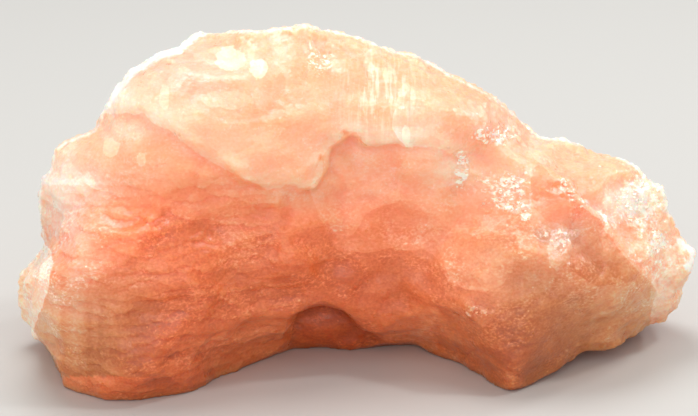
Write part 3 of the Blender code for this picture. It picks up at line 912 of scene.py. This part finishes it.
def makeCalcite(name, subsurface, paler=0.0):
    material = bpy.data.materials.new(name)
    material.use_nodes = True
    tree = material.node_tree
    shader = tree.nodes["Principled BSDF"]
    place = scaled(tree, addNode(tree, "ShaderNodeTexCoord").out("Object"), 1.0 / mm)
    sizes, tones, colours = stoneLooks["sizes"], stoneLooks["tones"], stoneLooks["colours"]

    def attribute(name):
        return addNode(tree, "ShaderNodeAttribute", {"attribute_name": name}).out("Fac")

    def noise(size, detail=2.0, stretch=(1.0, 1.0, 1.0)):
        return addNode(tree, "ShaderNodeTexNoise", None, {
            "Vector": vectorMath(tree, "MULTIPLY", place, stretch),
            "Scale": 1.0 / size,
            "Detail": detail,
        })

    def cells(size, spread=0.8):
        warp = addNode(tree, "ShaderNodeTexNoise", None,
                       {"Vector": place, "Scale": 1.0 / size, "Detail": 2.0})
        moved = vectorMath(tree, "ADD", scaled(tree, place, 1.0 / size),
                           scaled(tree, warp.out("Color"), spread))
        return addNode(tree, "ShaderNodeTexVoronoi", {"feature": "F1"},
                       {"Vector": moved, "Scale": 1.0})

    def between(value, low, high):
        return addNode(tree, "ShaderNodeMapRange", {"interpolation_type": "SMOOTHSTEP"},
                       {"Value": value, "From Min": low, "From Max": high})

    def clamped(value):
        return addNode(tree, "ShaderNodeClamp", None, {"Value": value})

    wet, stippled = attribute("wet"), attribute("stippled")

    def stippledTone(name):
        plain, more = tones[name]
        return plain + stippled * more

    # the broken layers, and the painted light and shade that some edges carry, are crisp along
    # their edges
    ragged = (noise(sizes["ragged edge"], 3.0) - 0.5) * 1.0
    pale = attribute("paleness") + paler
    for edge in plateEdges:
        crisp = between(attribute(edge + "Depth") + ragged, -0.1, 0.1)
        pale = pale + crisp * attribute(edge + "Change")
    # painted light and shade: plates, flakes and scales are paler towards the edge that they break
    # off along and darker just past it, and plates and flakes get a thin painted highlight on that
    # edge;
    # each scale also has a tone of its own
    plates, flakes = terrace(attribute("plates"), 0.03), terrace(attribute("flakes"), 0.06)
    plateEdgeHighlight = between(plates, 0.95, 1.0) * tones["edge highlight"]
    flakeEdgeHighlight = between(flakes, 0.92, 1.0) * tones["edge highlight"]
    broken = stippledTone("broken")
    pale = pale + ((plates - 0.5) * tones["plate"] + plateEdgeHighlight) * broken
    pale = pale + ((flakes - 0.5) * tones["flake"] + flakeEdgeHighlight) * broken
    upwards, tone = scaleCells(tree, place)
    pale = pale + (tone - 0.5 - upwards) * attribute("scaled") * tones["scale"]
    patches = addNode(tree, "ShaderNodeSeparateColor", None,
                      {"Color": cells(sizes["patch"]).out("Color")})
    pale = pale + (patches - 0.5) * stippledTone("patch")
    mottle = between(noise(sizes["mottle"], 4.0, (0.6, 0.6, 1.4)), 0.52, 0.56)
    pale = pale + (mottle - 0.4) * stippledTone("mottle")

    # fine grain that clusters, specks, dots, milky spots and upright striations; the brighter grain
    # in the clusters, the wet patches' specks and the dots are painted glints
    cluster = between(noise(sizes["cluster"], 4.0, (0.8, 0.8, 1.2)), 0.47, 0.56)
    grain = noise(sizes["fine grain"], 2.0, (0.8, 0.8, 1.0)) - 0.5
    bright = grain.math("MAXIMUM", grain, 0.0) * stippled * cluster
    pale = pale + grain * stippledTone("fine grain") + bright * tones["grain glints"]
    plain, clustered = tones["coarse grain"]
    coarse = noise(sizes["coarse grain"], 2.0, (0.6, 0.6, 1.2)) - 0.5
    pale = pale + coarse * stippled * (plain + cluster * clustered)
    specks = between(noise(sizes["speck"], 1.0), 0.6, 0.68) * between(noise(4.0, 3.0), 0.42, 0.62)
    plain, wetter = tones["speck"]
    pale = pale + specks * (plain + wet * wetter)
    dot = addNode(tree, "ShaderNodeTexVoronoi", {"feature": "F1"},
                  {"Vector": place, "Scale": 1.0 / sizes["dot spacing"]})
    dots = between(dot.out("Distance"), 0.12, 0.08) * between(noise(4.0, 2.0), 0.55, 0.58)
    pale = pale + dots * stippled * tones["dot"]
    milky = attribute("milk") + (noise(3.0, 4.0) - 0.5) * 1.2 + (noise(0.7, 2.0) - 0.5) * 0.2
    milky = between(milky, 0.38, 0.5) * attribute("milkShare")
    plain, curdled = tones["milk"]
    pale = pale + milky * (plain + noise(0.8, 3.0) * curdled)
    creamy = between(noise(3.5, 3.0, (0.5, 0.5, 1.5)), 0.55, 0.6) * (1.0 - stippled)
    pale = pale + creamy * tones["cream"]
    streak = between(noise(sizes["streak"], 3.0, (1.0, 0.12, 0.12)), 0.45, 0.62)
    pale = pale + (streak - 0.4) * attribute("striated") * tones["streak"]

    # painted glints: in the wet patches, thin bright lines and bright crumbs wander between the
    # grains
    glintShare = between(wet + (noise(2.5, 3.0) - 0.5) * 1.4, 0.5, 0.65)
    wander = noise(sizes["wandering line"], 3.0, (0.7, 0.7, 1.1)) - 0.5
    wander = between(abs(wander), 0.03, 0.01) * 0.6
    crumbs = between(noise(sizes["crumb"], 2.0, (0.7, 0.7, 1.1)), 0.54, 0.58)
    pale = pale + (wander + crumbs) * glintShare * tones["crumb"]
    # painted highlights: short bright dashes in the stippled clusters
    dashes = between(noise(sizes["dash"], 2.0, (0.6, 0.6, 1.3)), 0.56, 0.64) * cluster
    pale = pale + dashes * stippled * tones["dash"]

    # the paleness picks the colour, and the casts, the milk and the white crust with its painted
    # rim light go over it
    colour = addNode(tree, "ShaderNodeValToRGB", {"stops": calciteStops}, {"Fac": pale})
    colour = colour.out("Color")
    for cast, low, high in (("dull", 0.95, 0.75), ("rosy", 1.05, 0.85)):
        share = attribute(cast) * between(pale, low, high)
        colour = mixColours(tree, share, colour, linear(colours[cast]), "MULTIPLY")
    share = clamped(milky) * stoneLooks["milky share"]
    colour = mixColours(tree, share, colour, linear(colours["milk"]))
    # the white crust on the rims, with painted rim light
    frost = clamped(between(attribute("frost") + (noise(1.0, 3.0) - 0.5) * 0.8, 0.15, 0.7))
    share = frost * stoneLooks["frost share"]
    colour = mixColours(tree, share, colour, linear(colours["frost"]))
    tree.links.new(colour.socket, shader.inputs["Base Color"])

    glossy = clamped(wet * 1.1 + between(noise(3.0, 3.0), 0.48, 0.64) * 0.4)
    roughness = stoneLooks["roughness"] + (noise(1.6, 3.0) - 0.5) * stoneLooks["roughness range"]
    roughness = roughness - glossy * stoneLooks["gloss smooths by"]
    tree.links.new(roughness.socket, shader.inputs["Roughness"])
    dry, more = stoneLooks["coat"]
    tree.links.new((glossy * more + dry).socket, shader.inputs["Coat Weight"])
    shader.inputs["Coat Roughness"].default_value = stoneLooks["coat roughness"]
    shader.inputs["Subsurface Weight"].default_value = subsurface
    shader.inputs["Subsurface Radius"].default_value = stoneLooks["glow radius"]
    shader.inputs["Subsurface Scale"].default_value = stoneLooks["glow depth"]
    shader.inputs["IOR"].default_value = stoneLooks["ior"]

    # small cleaved faces turn the light their own way, and bump gives the grain between them
    dry, more = stoneLooks["facet turn"]
    facets = vectorMath(tree, "SUBTRACT", cells(sizes["facet"], 0.5).out("Color"), (0.5, 0.5, 0.5))
    facets = scaled(tree, facets, glossy * more + dry)
    turned = vectorMath(tree, "ADD", addNode(tree, "ShaderNodeNewGeometry").out("Normal"), facets)
    bump = addNode(tree, "ShaderNodeBump", None, {
        "Strength": stoneLooks["bump"],
        "Distance": stoneLooks["bump depth"],
        "Height": noise(0.45, 3.0, (0.7, 0.7, 1.0)) * 0.6 + noise(1.3, 2.0) * 0.4,
        "Normal": vectorMath(tree, "NORMALIZE", turned),
    })
    tree.links.new(bump.socket, shader.inputs["Normal"])
    return material


# Grains: small cleaved blocks sunk into the surface, leaning the same way within each patch of the
# stone. These are the inputs of the grains' tree
grainSizes = {
    "per square mm": 1.6,
    "smallest": 0.22,
    "largest": 0.6,
    "sunk": 0.12,
    "patch size": 9.0,
    "stray": 0.15,
    "seed": 11,
}
cleavageLean = 0.21  # how far a block leans for each unit of its height


def grainTree(material):
    tree = bpy.data.node_groups.new("calciteGrains", "GeometryNodeTree")
    tree.interface.new_socket("Geometry", in_out="INPUT", socket_type="NodeSocketGeometry")
    for name, value in grainSizes.items():
        kind = "NodeSocketInt" if name == "seed" else "NodeSocketFloat"
        socket = tree.interface.new_socket(name, in_out="INPUT", socket_type=kind)
        socket.default_value = value
    tree.interface.new_socket("Geometry", in_out="OUTPUT", socket_type="NodeSocketGeometry")
    given = addNode(tree, "NodeGroupInput")
    wanted = addNode(tree, "GeometryNodeInputNamedAttribute", {"data_type": "FLOAT"},
                     {"Name": "grainy"})
    spots = addNode(tree, "GeometryNodeDistributePointsOnFaces", {"distribute_method": "RANDOM"}, {
        "Mesh": given,
        "Density": wanted.out("Attribute") * given.out("per square mm") * (1.0 / mm ** 2),
        "Seed": given.out("seed"),
    })
    sunk = scaled(tree, spots.out("Normal"), given.out("sunk") * -mm)
    sunkSpots = addNode(tree, "GeometryNodeSetPosition", None, {"Geometry": spots, "Offset": sunk})

    # one cleaved block: a cube leaned over two ways
    cube = addNode(tree, "GeometryNodeMeshCube", None, {"Size": (1.0, 1.0, 1.0)})
    corner = separated(tree, addNode(tree, "GeometryNodeInputPosition"))
    lean = addNode(tree, "ShaderNodeCombineXYZ", None, {
        "X": (corner.out("Y") + corner.out("Z")) * cleavageLean,
        "Y": corner.out("Z") * cleavageLean,
    })
    block = addNode(tree, "GeometryNodeSetPosition", None, {"Geometry": cube, "Offset": lean})
    flat = addNode(tree, "GeometryNodeSetShadeSmooth", None,
                   {"Geometry": block, "Shade Smooth": False})

    # all blocks of a patch turn alike, apart from a little stray turn of their own
    place = scaled(tree, addNode(tree, "GeometryNodeInputPosition"), 1.0 / mm)
    patch = addNode(tree, "ShaderNodeTexVoronoi", {"feature": "F1"},
                    {"Vector": place, "Scale": 1.0 / given.out("patch size")})
    turn = vectorMath(tree, "SUBTRACT", patch.out("Color"), (0.5, 0.5, 0.5))
    stray = addNode(tree, "FunctionNodeRandomValue", {"data_type": "FLOAT_VECTOR"}, {
        "Min": (-0.5, -0.5, -0.5), "Max": (0.5, 0.5, 0.5), "Seed": given.out("seed") + 1})
    turn = vectorMath(tree, "ADD", turn, scaled(tree, stray, given.out("stray")))
    turn = scaled(tree, turn, 2.0 * math.pi)
    # a Random Value node's plain numbers are its sockets 2 and 3, and its output 1
    size = addNode(tree, "FunctionNodeRandomValue", {"data_type": "FLOAT"}, {
        2: given.out("smallest") * mm,
        3: given.out("largest") * mm,
        "Seed": given.out("seed") + 2,
    }).out(1)
    blocks = addNode(tree, "GeometryNodeInstanceOnPoints", None,
                     {"Points": sunkSpots, "Instance": flat, "Rotation": turn, "Scale": size})
    solid = addNode(tree, "GeometryNodeRealizeInstances", None, {"Geometry": blocks})
    done = addNode(tree, "GeometryNodeSetMaterial", None,
                   {"Geometry": solid, "Material": material})
    addNode(tree, "NodeGroupOutput", None, {"Geometry": done})
    return tree


def makeGrains(body, material):
    piece = bpy.data.objects.new("calcite_grains", body.data.copy())
    scene.collection.objects.link(piece)
    grow = piece.modifiers.new("grains", "NODES")
    grow.node_group = grainTree(material)
    setInputs(grow, grainSizes)
    keepResult(piece)
    return piece


mass = makeMass()
print("relief made:", len(mass.data.vertices), "points")
addTints(mass)
print("tints placed:", len(tintPlaces), "places and", len(plateEdges), "edges")
mass.data.materials.clear()
mass.data.materials.append(makeCalcite("calciteStone", 0.85))
grains = makeGrains(mass, makeCalcite("calciteGrain", 0.0, 0.14))
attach(grains, "root")
print("calcite grains:", len(grains.data.polygons), "faces")
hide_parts("calcite")
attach(mass, "root")
print("calcite mass:", len(mass.data.polygons), "faces")


# Floor, lights and camera
floorLooks = {
    "radius": 3.0,
    "drop": 0.0001,
    "colour": (0.52, 0.52, 0.5, 1.0),
    "roughness": 0.6,
}
lampAim = Vector((0.0, 0.0, 0.03))
lamps = {
    "keyAbove": {"place": (-0.08, 0.15, 0.55), "size": 0.35, "power": 1.9},
    "frontFill": {"place": (-0.1, -0.7, 0.4), "size": 1.2, "power": 3.6},
    "leftFill": {"place": (-0.6, -0.12, 0.22), "size": 0.5, "power": 0.4},
    "highGlint": {"place": (0.3, -0.03, 0.5), "size": 0.07, "power": 0.6},
    "backGlint": {"place": (0.4, 0.24, 0.32), "size": 0.07, "power": 0.6},
}
roomLight = {"colour": (0.96, 0.92, 0.9, 1.0), "strength": 0.6}


def makeFloor():
    bm = bmesh.new()
    bmesh.ops.create_circle(bm, cap_ends=True, segments=96, radius=floorLooks["radius"])
    mesh = bpy.data.meshes.new("floor")
    bm.to_mesh(mesh)
    bm.free()
    floor = bpy.data.objects.new("floor", mesh)
    floor.location.z = -floorLooks["drop"]
    scene.collection.objects.link(floor)
    material = bpy.data.materials.new("paleFloor")
    material.use_nodes = True
    shader = material.node_tree.nodes["Principled BSDF"]
    shader.inputs["Base Color"].default_value = floorLooks["colour"]
    shader.inputs["Roughness"].default_value = floorLooks["roughness"]
    mesh.materials.append(material)


def softLight(name, place, size, power):
    lamp = bpy.data.lights.new(name, "AREA")
    lamp.shape = "DISK"
    lamp.size = size
    lamp.energy = power
    light = bpy.data.objects.new(name, lamp)
    light.location = place
    light.rotation_euler = (lampAim - Vector(place)).to_track_quat("-Z", "Y").to_euler()
    scene.collection.objects.link(light)


makeFloor()
for name, lamp in lamps.items():
    softLight(name, **lamp)
world = bpy.data.worlds.new("softRoom")
world.use_nodes = True
background = world.node_tree.nodes["Background"]
background.inputs["Color"].default_value = roomLight["colour"]
background.inputs["Strength"].default_value = roomLight["strength"]
scene.world = world
scene.view_settings.view_transform = "Standard"

lens = bpy.data.cameras.new("camera")
camera = bpy.data.objects.new("camera", lens)
scene.collection.objects.link(camera)
camera.location = Vector(np.array(frontView["aim"]) + viewTowards * frontView["distance"]) * mm
camera.rotation_euler = Vector(-viewTowards).to_track_quat("-Z", "Y").to_euler()
lens.lens = lens.sensor_width * frontView["distance"] / frontView["width"]
lens.shift_x = frontView["shift"]
lens.clip_start = 0.01
scene.camera = camera
print("floor,", len(lamps), "lights and the camera placed")
